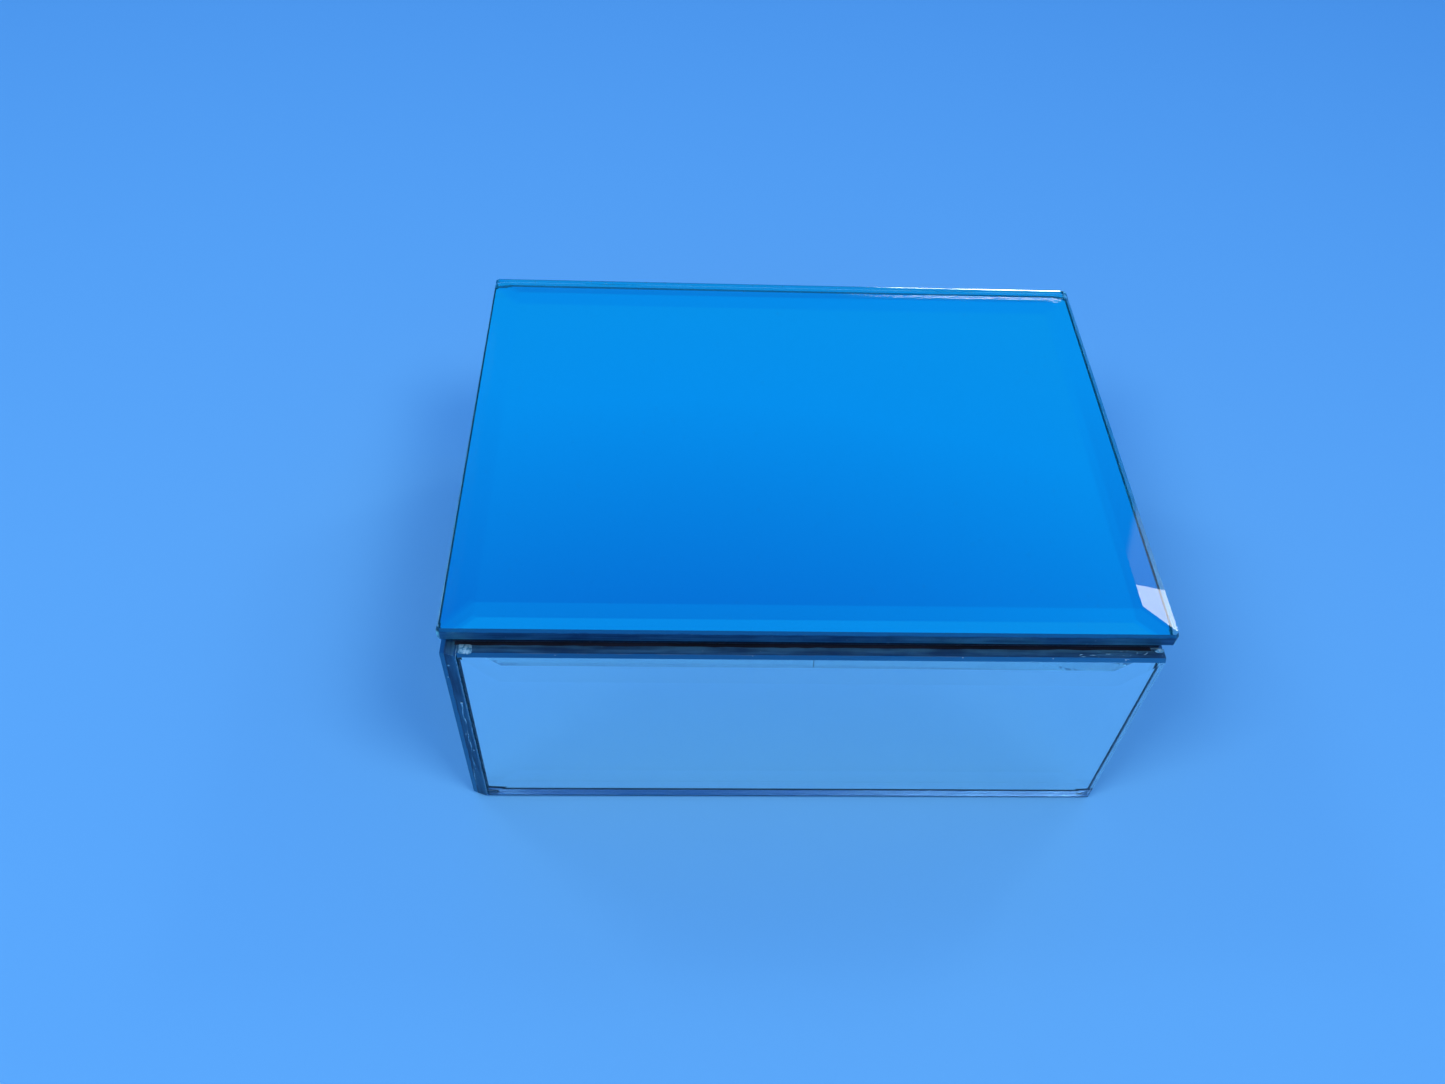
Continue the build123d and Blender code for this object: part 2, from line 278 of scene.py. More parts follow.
def paint(obj, made):
    """Gives an object this one material."""
    material = made.material if isinstance(made, Nodes) else made
    if not obj.material_slots:
        obj.data.materials.append(material)
    for slot in obj.material_slots:
        slot.material = material


def piece(name, mesh, body, made, replaces=()):
    """A finished piece of the object, riding on its body."""
    obj = bpy.data.objects.new(name, mesh)
    bpy.context.scene.collection.objects.link(obj)
    paint(obj, made)
    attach(obj, body)
    if replaces:
        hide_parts(*replaces)
    return obj


def mesh_from(name, bm, smooth=True):
    """Finishes a bmesh as a mesh, with its normals outwards."""
    bmesh.ops.recalc_face_normals(bm, faces=bm.faces)
    for face in bm.faces:
        face.smooth = smooth
    mesh = bpy.data.meshes.new(name)
    bm.to_mesh(mesh)
    bm.free()
    return mesh


def slab(bm, outline, axis, near, far):
    """A closed slab: a flat outline, given in the two other axes, from near to far along axis."""
    others = [i for i in range(3) if i != axis]
    rings = []
    for depth in (near, far):
        ring = []
        for point in outline:
            place = Vector()
            place[axis] = depth
            place[others[0]], place[others[1]] = point
            ring.append(bm.verts.new(place))
        rings.append(ring)
    join_rings(bm, rings, capped=True)


def join_rings(bm, rings, capped=False):
    """Faces between one closed ring of points and the next, with the two ends closed if asked."""
    for first, second in zip(rings, rings[1:]):
        count = len(first)
        for i in range(count):
            j = (i + 1) % count
            bm.faces.new((first[i], first[j], second[j], second[i]))
    if capped:
        bm.faces.new(rings[0])
        bm.faces.new(rings[-1])


def tube(bm, points, radii, sides=8):
    """A closed rope of glue or thread along points, each with its own radius."""
    rings = []
    for i, (point, radius) in enumerate(zip(points, radii)):
        along = (points[min(i + 1, len(points) - 1)] - points[max(i - 1, 0)]).normalized()
        across = across - along * across.dot(along) if rings else along.orthogonal()
        across = across.normalized()
        other = along.cross(across)
        ring = []
        for k in range(sides):
            turn = math.tau * k / sides
            ring.append(bm.verts.new(point + radius * (across * math.cos(turn) + other * math.sin(turn))))
        rings.append(ring)
    join_rings(bm, rings, capped=True)


def blob(bm, centre, size, seed):
    """A small uneven drop."""
    made = bmesh.ops.create_icosphere(bm, subdivisions=3, radius=1.0)["verts"]
    for vert in made:
        swell = 1.0 + 0.35 * noise.noise(vert.co * 1.6 + Vector((seed, 0.0, 0.0)))
        vert.co = Vector(centre) + Vector(vert.co[i] * size[i] * swell for i in range(3))


def wander(place, scale, seed):
    """A smooth random number from -1 to 1 that changes over about 1/scale metres."""
    return noise.noise(Vector(place) * scale + Vector((seed * 7.3, seed * 3.1, seed * 5.7)))


# ---------------------------------------------------------------- materials


def glass_material(name, axis, side):
    """Clear float glass: polished faces, and ground edges that are darker, streaked and a little cloudy.

    The ground edge has a wavy line where its outer corner was ground off, and a thin pale line along the
    silvering. Seen from inside the glass it is mostly polished. A wall's level edges stay satin there, and
    so do the lid's left and right edges, which are clear and polished from outside. Painted light: the
    outer edges that face up get lighter colours and a deeper blue band, as if lit from above, and the
    lid's edges are painted a little lighter than the walls'.
    """
    made = Nodes(f"{name}_glass")
    low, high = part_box(name)
    silvered = (low, high)[side > 0][axis]
    lid = name == "lid_mirror"
    geometry = made.node("ShaderNodeNewGeometry").outputs
    normal = made.node("ShaderNodeSeparateXYZ", {"Vector": geometry["True Normal"]}).outputs
    facing = made.maths("ABSOLUTE", normal[axis])
    rim = made.maths("LESS_THAN", facing, FACE_SHARE)
    within = geometry["Backfacing"]
    # top marks the up-facing ground edges seen from outside, which are painted lighter as painted light from
    # above.
    facing_up = made.maths("GREATER_THAN", normal["Z"], SIDE_SHARE)
    top = made.maths("MULTIPLY", facing_up, made.maths("SUBTRACT", 1.0, within))
    arris = made.maths("GREATER_THAN", facing, ARRIS_SHARE)
    level = made.maths("GREATER_THAN", made.maths("ABSOLUTE", normal["Z"]), SIDE_SHARE)
    foot = made.maths("MULTIPLY", within, level)
    place = made.node("ShaderNodeSeparateXYZ", {"Vector": made.place()}).outputs[axis]
    height = made.maths("MULTIPLY", made.maths("SUBTRACT", silvered, place), side)
    wave = made.noise(170.0, 3.0, 0.55)
    line = made.between(wave, LAND - ARRIS - 0.5 * MM, LAND - ARRIS + 0.5 * MM)
    above = made.maths("SUBTRACT", height, line)
    band = made.ramp(above, *((-0.25 * MM, 0.35 * MM) if lid else (-0.04 * MM, 0.10 * MM)))
    below = made.ramp(above, -0.65 * MM, -0.05 * MM)
    back_line = made.ramp(height, 0.45 * MM, 0.20 * MM, 0.0, 0.7)
    across = [GRIND_ALONG] * 3
    across[axis] = GRIND_ACROSS
    streaks = made.noise(1.0, 3.0, 0.55, made.stretched(across))
    cloud = made.noise(95.0, 3.0, 0.5)
    flecks = made.noise(1300.0, 2.0, 0.5)
    tone = made.maths("ADD", made.maths("MULTIPLY", streaks, 0.55), made.maths("MULTIPLY", cloud, 0.45))
    # Painted light: a lighter copy of the edge colours for the lid.
    gain = LID_EDGE_PAINTED_LIGHT_GAIN if lid else 1.0
    # Painted light: the up-facing edges take lighter copies of the edge colours and a deeper blue band.
    deep = made.mix(top, shade(EDGE_DEEP, gain), shade(EDGE_DEEP, TOP_EDGE_PAINTED_LIGHT_GAIN))
    mid = made.mix(top, shade(EDGE_MID, gain), shade(EDGE_MID, TOP_EDGE_PAINTED_LIGHT_GAIN))
    bright = made.mix(top, shade(EDGE_BAND), shade(TOP_BAND_PAINTED_LIGHT))
    body = made.mix(made.ramp(tone, 0.38, 0.64), deep, mid)
    body = made.mix(made.maths("MULTIPLY", below, 0.85), body, deep)
    body = made.mix(band, body, bright)
    body = made.mix(back_line, body, bright)
    body = made.mix(made.ramp(flecks, 0.74, 0.79), body, shade(EDGE_PALE))
    body = made.mix(foot, body, made.mix(arris, shade(FOOT_WITHIN), shade(FOOT_ARRIS)))
    solid = made.mix_number(within, EDGE_BODY, EDGE_BODY_WITHIN)
    solid = made.mix_number(foot, solid, made.mix_number(arris, FOOT_BODY_WITHIN, 1.0))
    polished = made.maths("SUBTRACT", within, foot)
    if lid:
        flank = made.maths("GREATER_THAN", made.maths("ABSOLUTE", normal["X"]), SIDE_SHARE)
        polished = made.maths("ABSOLUTE", made.maths("SUBTRACT", within, flank))
        body = made.mix(made.maths("MULTIPLY", flank, within), body, shade(LID_FLANK_WITHIN))
        solid = made.mix_number(flank, solid, made.mix_number(within, LID_SIDE_BODY, FOOT_BODY_WITHIN))
    satin = made.mix_number(band, made.between(tone, 0.42, 0.26), 0.16)
    satin = made.mix_number(top, satin, 0.5)
    made.set(
        Base_Color=made.mix(rim, rgb(0.985, 0.998, 0.995), body),
        Metallic=made.maths("MULTIPLY", rim, solid),
        Roughness=made.maths("MULTIPLY", rim, made.mix_number(polished, satin, POLISH)),
        IOR=1.52,
        Transmission_Weight=1.0,
        Normal=made.bump(made.maths("MULTIPLY", rim, tone), 0.0002, 0.3),
    )
    absorb = made.node("ShaderNodeVolumeAbsorption", {"Color": rgb(0.45, 0.86, 0.82), "Density": 9.0})
    made.tree.links.new(absorb.outputs["Volume"], made.tree.nodes["Material Output"].inputs["Volume"])
    return made


def silver_material():
    """Chemically laid silver, with the faintest haze."""
    made = Nodes("silvering")
    haze = made.noise(60.0, 3.0, 0.5)
    made.set(
        Base_Color=made.mix(haze, rgb(0.93, 0.95, 0.95), rgb(0.95, 0.965, 0.965)),
        Metallic=1.0,
        Roughness=made.between(haze, 0.004, 0.014),
    )
    return made


def backing_paint_material():
    """The grey-green paint behind the silvering, rolled on a little unevenly."""
    made = Nodes("mirror_backing_paint")
    rolled = made.noise(1.0, 3.0, 0.5, made.stretched((40.0, 260.0, 260.0)))
    made.set(
        Base_Color=made.mix(rolled, rgb(0.055, 0.065, 0.062), rgb(0.085, 0.098, 0.092)),
        Roughness=made.between(rolled, 0.42, 0.58),
        Normal=made.bump(rolled, 0.0001, 0.4),
    )
    return made


def velvet_material():
    """Black velvet: a fine pile that lies in soft brushed patches, with a few specks of lint."""
    made = Nodes("black_velvet")
    pile = made.noise(3200.0, 2.0, 0.6)
    brushed = made.noise(1.0, 3.0, 0.5, made.stretched((30.0, 30.0, 14.0)))
    crush = made.noise(85.0, 4.0, 0.6)
    both = made.maths("ADD", made.maths("MULTIPLY", brushed, 0.65), made.maths("MULTIPLY", crush, 0.35))
    lie = made.ramp(both, 0.40, 0.62)
    lint = made.node(
        "ShaderNodeTexVoronoi",
        {"Vector": made.stretched((300.0, 520.0, 420.0)), "Scale": 1.0, "Randomness": 1.0},
        feature="F1",
    ).outputs
    speck = made.ramp(lint["Distance"], 0.13, 0.05)
    chosen = made.node("ShaderNodeSeparateXYZ", {"Vector": lint["Color"]}).outputs["X"]
    speck = made.maths("MULTIPLY", speck, made.maths("GREATER_THAN", chosen, 0.96))
    nap = made.mix(lie, VELVET_DEEP, VELVET_RAISED)
    made.set(
        Base_Color=made.mix(speck, nap, LINT),
        Roughness=made.between(lie, 0.80, 0.97),
        Sheen_Weight=0.55,
        Sheen_Roughness=0.32,
        Sheen_Tint=rgb(0.50, 0.55, 0.75),
        Normal=made.bump(made.maths("ADD", pile, made.maths("MULTIPLY", crush, 1.2)), 0.00035, 0.7),
    )
    made.shader.inputs["Specular IOR Level"].default_value = 0.12
    return made


def felt_material():
    """Black pressed felt: matted fibres that run every way."""
    made = Nodes("black_felt")
    fibres = made.noise(1.0, 5.0, 0.75, made.stretched((900.0, 500.0, 700.0)))
    mat = made.noise(160.0, 4.0, 0.6)
    both = made.maths("ADD", made.maths("MULTIPLY", fibres, 0.6), made.maths("MULTIPLY", mat, 0.4))
    made.set(
        Base_Color=made.mix(made.ramp(both, 0.35, 0.68), rgb(0.007, 0.007, 0.009), rgb(0.045, 0.045, 0.052)),
        Roughness=made.between(mat, 0.90, 1.0),
        Sheen_Weight=0.25,
        Normal=made.bump(both, 0.0006, 0.9),
    )
    return made


def board_material():
    """Dark fibreboard, with its pressed flecks."""
    made = Nodes("black_fibreboard")
    grain = made.noise(900.0, 4.0, 0.6)
    flecks = made.noise(1.0, 3.0, 0.6, made.stretched((320.0, 120.0, 320.0)))
    made.set(
        Base_Color=made.mix(
            made.ramp(flecks, 0.42, 0.66), rgb(0.014, 0.012, 0.011), rgb(0.060, 0.050, 0.042)
        ),
        Roughness=made.between(grain, 0.72, 0.92),
        Normal=made.bump(grain, 0.0003, 0.5),
    )
    return made


def nickel_material(name, tone):
    """Nickel-plated steel: a rolled grain along the leaf, small stains and fine rubbed wear."""
    made = Nodes(name)
    rolled = made.noise(1.0, 3.0, 0.6, made.stretched((300.0, 4000.0, 4000.0)))
    stains = made.noise(420.0, 4.0, 0.6)
    worn = made.noise(1600.0, 2.0, 0.5)
    dull, bright = shade(NICKEL_DULL, tone), shade(NICKEL_BRIGHT, tone)
    made.set(
        Base_Color=made.mix(made.ramp(stains, 0.35, 0.65), dull, bright),
        Metallic=1.0,
        Roughness=made.between(made.maths("MULTIPLY", made.maths("ADD", rolled, worn), 0.5), 0.16, 0.42),
        Normal=made.bump(rolled, 0.00008, 0.4),
    )
    return made


def adhesive_material():
    """Clear glue that has gone milky where it holds bubbles."""
    made = Nodes("clear_adhesive")
    bubbles = made.noise(1300.0, 3.0, 0.6)
    cloud = made.noise(260.0, 3.0, 0.5)
    milk = made.maths("MULTIPLY", made.ramp(bubbles, 0.40, 0.56), made.ramp(cloud, 0.28, 0.5))
    made.set(
        Base_Color=made.mix(milk, rgb(0.06, 0.22, 0.33), rgb(0.26, 0.48, 0.58)),
        Roughness=made.between(bubbles, 0.06, 0.24),
        Normal=made.bump(bubbles, 0.0003, 0.6),
    )
    return made


# ---------------------------------------------------------------- mirrors


def body_of(name):
    return "lid" if name.startswith("lid") else "box"


def worn_outline(low, high, seed, chips=()):
    """The silvering's outline: a rectangle with a finely uneven edge.

    chips are (side, place, half width, depth), where side 0 is the bottom, 1 the right, 2 the top and 3 the
    left, and place runs from 0 to 1 along that side from its lower or left end.
    """
    step = 1.2 * MM
    sides = (
        (Vector((low[0], low[1])), Vector((high[0], low[1])), Vector((0, 1))),
        (Vector((high[0], low[1])), Vector((high[0], high[1])), Vector((-1, 0))),
        (Vector((high[0], high[1])), Vector((low[0], high[1])), Vector((0, -1))),
        (Vector((low[0], high[1])), Vector((low[0], low[1])), Vector((1, 0))),
    )
    outline = []
    for number, (start, end, inwards) in enumerate(sides):
        length = (end - start).length
        places = {(k + 0.5) * step: 0.0 for k in range(int(length / step) - 1)}
        for side, share, half, depth in chips:
            if side == number:
                middle = length * (share if number < 2 else 1 - share)
                places = {p: d for p, d in places.items() if abs(p - middle) > half + 0.1 * MM}
                places |= {middle - half: 0.0, middle - 0.9 * half: depth, middle + 0.9 * half: depth * 0.9}
                places[middle + half] = 0.0
        for place, extra in sorted(places.items()):
            point = start + (end - start) * (place / length)
            ragged = SILVER_INSET * (1.0 + 0.8 * wander((*point, 0.0), 420.0, seed + number))
            outline.append(point + inwards * (ragged + extra))
    return outline


def coats():
    """The silvering behind each mirror and the paint over it, as thin coats just clear of the glass."""
    silver, paint_back = silver_material(), backing_paint_material()
    for seed, (name, (axis, side)) in enumerate(PANES.items()):
        low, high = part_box(name)
        face = (low, high)[side > 0][axis]
        others = [i for i in range(3) if i != axis]
        corners = [low[i] for i in others], [high[i] for i in others]
        silvered = worn_outline(*corners, seed, SILVER_CHIPS.get(name, ()))
        painted = worn_outline(*corners, seed + PAINT_SEED)
        for kind, material, slot, outline, near, thick in (
            ("silvering", silver, "mirror_glass", silvered, SILVER_GAP, SILVER),
            ("backing_paint", paint_back, "backing_board", painted, 2 * SILVER_GAP + SILVER, PAINT),
        ):
            bm = bmesh.new()
            slab(bm, outline, axis, face + side * near, face + side * (near + thick))
            coat = name.replace("mirror", kind)
            piece(coat, mesh_from(coat, bm, smooth=False), body_of(name), material)


def dress_mirrors():
    for name, (axis, side) in PANES.items():
        paint(nodes[name], glass_material(name, axis, side))
        soften(nodes[name], GLASS_EDGE)
    coats()


def soften(obj, width, segments=1):
    """Breaks the sharp edges of a part, so that they catch the light."""
    bevel = obj.modifiers.new("broken_edges", "BEVEL")
    bevel.width = width
    bevel.segments = segments
    bevel.limit_method = "ANGLE"
    bevel.angle_limit = math.radians(25)
    bevel.harden_normals = False


# ---------------------------------------------------------------- glue


def glue_squiggles(bm, name, front):
    """Glue that was squeezed out on the exposed end of a side mirror, in curls, beads and drops."""
    low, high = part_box(name)
    axis, side = PANES[name]
    inner_x = (low, high)[side > 0].x
    inner_y = low.y if front else high.y
    towards = 1 if front else -1
    out = Vector((-side * END_SLANT, -towards * LAND, 0)).normalized()
    height = high.z - low.z

    def on_end(across, share, lift):
        """A point on the end: across from its silvered side to its outer side, and share of the way up."""
        x = inner_x - side * LAND * across
        y = inner_y + towards * END_SLANT * across
        return Vector((x, y, low.z + height * share)) + out * lift

    for seed, (across, top, bottom, curl, radius) in enumerate(GLUE_RUNS):
        steps = max(12, int((top - bottom) * 150))
        points, radii = [], []
        for k in range(steps + 1):
            share = top + (bottom - top) * k / steps
            here = (share, 0.0, 0.0)
            sway = curl * wander(here, 24.0, seed + 1) + 0.3 * curl * wander(here, 80.0, seed + 5)
            thick = radius * (1.0 + 0.55 * wander((share, 1.0, 0.0), 60.0, seed))
            taper = min(1.0, 0.25 + 3.5 * k / steps, 0.25 + 3.5 * (1 - k / steps))
            points.append(on_end(across + sway, share, 0.3 * radius))
            radii.append(max(thick * taper, 0.03 * MM))
        tube(bm, points, radii)
    for seed, (across, share, size) in enumerate(GLUE_DROPS):
        blob(bm, on_end(across, share, 0.2 * size), (size, 0.5 * size, 1.2 * size), seed)


def glue_in_joint(bm, low, high, thin, seed):
    """A sheet of glue in an upright joint, with an uneven outer edge."""
    axis = 0 if thin == "x" else 1
    wide = 1 - axis
    count = 60
    left, right = [], []
    for k in range(count + 1):
        z = low.z + (high.z - low.z) * k / count
        left.append((low[wide] + 0.5 * MM * abs(wander((z, 0, 0), 180.0, seed)), z))
        right.append((high[wide] - 0.5 * MM * abs(wander((z, 0, 0), 180.0, seed + 3)), z))
    slab(bm, left + right[::-1], axis, low[axis], high[axis])


def curl(bm, start, length, radius, draw):
    """A thread of glue that lies on a level edge and turns as it goes."""
    heading, bend = draw.uniform(0, math.tau), draw.uniform(-2.6, 2.6)
    steps = 7
    points, radii = [start], [0.4 * radius]
    for k in range(1, steps + 1):
        turn = heading + bend * k / steps
        points.append(points[-1] + Vector((math.cos(turn), 0.6 * math.sin(turn), 0)) * length / steps)
        radii.append(radius * (0.5 + 0.6 * math.sin(math.pi * k / steps)) * draw.uniform(0.8, 1.2))
    tube(bm, points, radii, 6)


def smear(bm, middle, size):
    """A thin squarish film of glue on a level edge."""
    outline = []
    count = 28
    for k in range(count):
        x, y = math.cos(math.tau * k / count), math.sin(math.tau * k / count)
        square = max(abs(x), abs(y)) ** -0.7
        reach = square * (1.0 + 0.28 * wander((x, y, 0), 1.3, 6))
        outline.append((middle.x + size[0] * reach * x, middle.y + size[1] * reach * y))
    slab(bm, outline, 2, middle.z + 0.005 * MM, middle.z + 0.04 * MM)


def corner_glue():
    """The glue in the four upright joints, what was squeezed out, and dabs near the front edge's ends."""
    bm = bmesh.new()
    half_turn = Matrix.Rotation(math.pi, 4, "Z")
    front_low, front_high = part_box("front_mirror")
    left_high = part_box("left_mirror")[1]
    right_low, right_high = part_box("right_mirror")
    back_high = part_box("back_mirror")[1]
    squeeze = 0.4 * MM
    coat = 2 * SILVER_GAP + SILVER + PAINT
    beside = Vector((left_high.x + coat, front_low.y + BEVEL_DROP - 0.05 * MM, front_low.z))
    beside_top = Vector((front_low.x, front_high.y - squeeze, front_high.z))
    glue_in_joint(bm, beside, beside_top, "x", 1)
    behind = Vector((right_low.x + squeeze, front_high.y + coat, front_low.z))
    behind_top = Vector((right_high.x - ARRIS, right_low.y, front_high.z))
    glue_in_joint(bm, behind, behind_top, "y", 2)
    centre = (front_low + back_high) / 2
    centre.z = 0
    turn = Matrix.Translation(centre) @ half_turn @ Matrix.Translation(-centre)
    copy = bmesh.ops.duplicate(bm, geom=bm.verts[:] + bm.edges[:] + bm.faces[:])["geom"]
    bmesh.ops.transform(bm, matrix=turn, verts=[v for v in copy if isinstance(v, bmesh.types.BMVert)])
    glue_squiggles(bm, "left_mirror", True)
    glue_squiggles(bm, "right_mirror", False)
    draw = random.Random(11)
    top = front_high.z
    for _ in range(13):
        x = draw.uniform(front_high.x - 22 * MM, front_high.x - 4 * MM)
        y = draw.uniform(front_high.y - 3.0 * MM, front_high.y - 0.5 * MM)
        curl(bm, Vector((x, y, top)), draw.uniform(0.5, 1.9) * MM, draw.uniform(0.06, 0.11) * MM, draw)
    fleck = Vector((front_high.x - 1.5 * MM, front_high.y - 0.9 * MM, top + 0.45 * MM))
    blob(bm, fleck, (1.1 * MM, 0.6 * MM, 0.5 * MM), 4.0)
    smear(bm, Vector((front_low.x + 2.2 * MM, front_high.y - 1.7 * MM, top)), (1.7 * MM, 1.5 * MM))
    mesh = mesh_from("corner_glue", bm)
    piece("corner_glue", mesh, "box", adhesive_material(), ("corner_adhesive",))


# ---------------------------------------------------------------- velvet


def lining_profile(wrap):
    """The velvet's section, up the wall and over the board: (how far out from its room face, height)."""
    round_top = 0.7 * MM
    top = board_top + WRAP
    points = [(0.0, base_top + share * (top - round_top - base_top)) for share in (k / 18 for k in range(19))]
    for k in range(1, 6):
        turn = math.radians(90 * k / 5)
        points.append((round_top * (1 - math.cos(turn)), top - round_top * (1 - math.sin(turn))))
    under = board_top + 0.03 * MM
    past_board = LINING + BOARD + BACKING_GAP
    end = max(wrap, round_top + LINING)
    for share in (0.3, 0.65, 0.96):
        points.append((round_top + (end - round_top) * share, top + 0.02 * MM * math.sin(9 * share)))
    lip = max(under, mirror_top + 0.01 * MM) if end > past_board else under
    points += [(end, top - 0.06 * MM), (end, lip)]
    inner_end = min(end - 0.05 * MM, past_board - 0.05 * MM)
    points += [(inner_end + 0.02 * MM, lip), (inner_end, under), (LINING, under), (LINING, base_top)]
    return points


def lining(name, start, end, outwards, notches=()):
    """One wall's velvet, from corner to corner of the room, mitred where it meets the next wall's.

    start and end are the room's corners at this wall, outwards the way from the room into the wall.
    notches are places along the wall where the velvet over the board's top is cut back for a hinge leaf.
    """
    along = (end - start).normalized()
    length = (end - start).length
    stations = {0.0, length}
    stations |= {length * k / 60 for k in range(1, 60)}
    for middle in notches:
        stations = {s for s in stations if abs(abs(s - middle) - LEAF_ROOM) > 1.0 * MM}
        for side in (-1, 1):
            stations |= {middle + side * (LEAF_ROOM - LEAF_EASE), middle + side * (LEAF_ROOM + LEAF_EASE)}
    bm = bmesh.new()
    rings = []
    seed = sum(map(ord, name)) % 50
    for s in sorted(stations):
        place = start + along * s
        full = LINING + BOARD + BACKING_GAP + NAP_OVERHANG * (1.0 + 0.55 * wander(place, 350.0, seed))
        at_leaf = any(abs(s - middle) < LEAF_ROOM for middle in notches)
        wrap = LINING + BOARD - LEAF_SETBACK if at_leaf else full
        near_end = min(s, length - s)
        ring = []
        for depth, z in lining_profile(wrap):
            share = (z - base_top) / (board_top - base_top)
            puff = 0.0
            if depth < 0.1 * MM:
                swell = math.sin(math.pi * min(max(share, 0.0), 1.0)) * min(1.0, near_end / (12 * MM))
                puff = swell * (0.22 + 0.16 * wander(place + Vector((0, 0, z)), 45.0, seed)) * MM
                puff -= 0.35 * MM * max(0.0, 1.0 - near_end / (1.2 * MM))
            mitre = (s - length / 2) / (length / 2) * max(depth - puff, 0.0)
            across = outwards * (depth - puff)
            ring.append(bm.verts.new(start + along * (s + mitre) + across + Vector((0, 0, z))))
        rings.append(ring)
    join_rings(bm, rings, capped=True)
    made = piece(name + "_velvet", mesh_from(name, bm), "box", velvet, (name,))
    crisp(made)


def crisp(obj, angle=40):
    """Smooth shading, apart from real corners."""
    obj.data.set_sharp_from_angle(angle=math.radians(angle))


def linings():
    low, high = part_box("front_lining")
    left, right = low.x + LINING, high.x - LINING
    near, far = high.y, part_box("back_lining")[0].y
    corners = [Vector((x, y, 0)) for x, y in ((left, near), (right, near), (right, far), (left, far))]
    outward = [Vector((x, y, 0)) for x, y in ((0, -1), (1, 0), (0, 1), (-1, 0))]
    walls = zip(("front", "right", "back", "left"), corners, corners[1:] + corners[:1], outward)
    for wall, start, end, outwards in walls:
        notches = ()
        if wall == "back":
            leaves = [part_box(leaf) for leaf in ("right_hinge_leaf", "left_hinge_leaf")]
            notches = [start.x - (a.x + b.x) / 2 for a, b in leaves]
        lining(f"{wall}_lining", start, end, outwards, notches)


def wrapped_lid_board():
    """The lid's board in its velvet: the board's own shape with soft corners."""
    bm = bmesh.new()
    bm.from_mesh(nodes["lid_board"].data)
    bmesh.ops.remove_doubles(bm, verts=bm.verts, dist=1e-6)
    bmesh.ops.dissolve_limit(bm, angle_limit=math.radians(1), verts=bm.verts, edges=bm.edges)
    mesh = mesh_from("lid_board_velvet", bm)
    made = piece("lid_board_velvet", mesh, "lid", velvet, ("lid_board",))
    soften(made, VELVET_EDGE, 3)
    crisp(made)


def pad_block(name, node):
    """A pad's block of foam, a little smaller than its space, with an even mesh."""
    low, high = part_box(node)
    bm = bmesh.new()
    bmesh.ops.create_cube(bm, size=1.0)
    for vert in bm.verts:
        vert.co = Vector(
            (vert.co[i] + 0.5) * (high[i] - low[i] - 2 * shrink) + low[i] + shrink
            for i, shrink in enumerate(PAD_SHRINK)
        )
    bmesh.ops.bevel(bm, geom=bm.edges[:], offset=PAD_CORNER, segments=3, affect="EDGES", profile=0.5)
    obj = bpy.data.objects.new(name, mesh_from(name, bm))
    bpy.context.scene.collection.objects.link(obj)
    remesh = obj.modifiers.new("remesh", "REMESH")
    remesh.mode = "VOXEL"
    remesh.voxel_size = PAD_VOXEL
    bake_modifiers(obj)
    return obj


def bake_modifiers(obj):
    """Turns what the modifiers show into the mesh itself."""
    graph = bpy.context.evaluated_depsgraph_get()
    shown = obj.evaluated_get(graph)
    mesh = bpy.data.meshes.new_from_object(shown)
    obj.modifiers.clear()
    obj.data = mesh


def inflate(obj, pinned, pressure, cap, frames=20):
    """Swells a closed piece like stuffed fabric.

    pinned says which points are glued down. No point moves more than cap.
    """
    rest = [vert.co.copy() for vert in obj.data.vertices]
    group = obj.vertex_groups.new(name="glued")
    group.add([i for i, place in enumerate(rest) if pinned(place)], 1.0, "REPLACE")
    cloth = obj.modifiers.new("cloth", "CLOTH")
    cloth.settings.quality = 6
    cloth.settings.mass = 0.25
    cloth.settings.use_pressure = True
    cloth.settings.uniform_pressure_force = pressure
    cloth.settings.effector_weights.gravity = 0
    cloth.settings.vertex_group_mass = "glued"
    cloth.point_cache.frame_end = frames
    scene = bpy.context.scene
    for frame_number in range(1, frames + 1):
        scene.frame_set(frame_number)
    bake_modifiers(obj)
    scene.frame_set(1)
    for vert, place in zip(obj.data.vertices, rest):
        moved = vert.co - place
        if moved.length > cap:
            vert.co = place + moved.normalized() * cap


def velvet_pad(name, node, body, up, crown):
    """A padded velvet panel: flat on its backing, crowned on its other side, its sides pulled in a little.

    up is 1 where the crown faces up and -1 where it faces down.
    """
    low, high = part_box(node)
    obj = pad_block(name, node)
    backing = low.z if up > 0 else high.z
    inflate(obj, lambda place: abs(place.z - backing) < PAD_GLUED, PAD_PRESSURE, crown)
    middle, half = (low + high) / 2, (high - low) / 2
    for vert in obj.data.vertices:
        across = Vector(((vert.co.x - middle.x) / half.x, (vert.co.y - middle.y) / half.y))
        away = up * (vert.co.z - backing) / (high.z - low.z)
        inner = max(0.0, 1 - abs(across.x) ** 8) * max(0.0, 1 - abs(across.y) ** 8)
        soft = wander(vert.co, 30.0, 3) * 0.25 * MM + wander(vert.co, 110.0, 5) * 0.07 * MM
        vert.co.z += up * inner * max(away, 0.0) * (0.45 * crown + soft)
        pull = PAD_PULL * max(0.0, away)
        vert.co.x -= math.copysign(pull * (1 - across.y ** 2) * abs(across.x) ** 10, across.x)
        vert.co.y -= math.copysign(pull * (1 - across.x ** 2) * abs(across.y) ** 10, across.y)
        vert.co.x = min(max(vert.co.x, low.x), high.x)
        vert.co.y = min(max(vert.co.y, low.y), high.y)
        vert.co.z = max(vert.co.z, backing) if up > 0 else min(vert.co.z, backing)
    smooth = obj.modifiers.new("smooth", "SUBSURF")
    smooth.levels = smooth.render_levels = 1
    bake_modifiers(obj)
    for face in obj.data.polygons:
        face.use_smooth = True
    paint(obj, velvet)
    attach(obj, body)
    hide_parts(node)


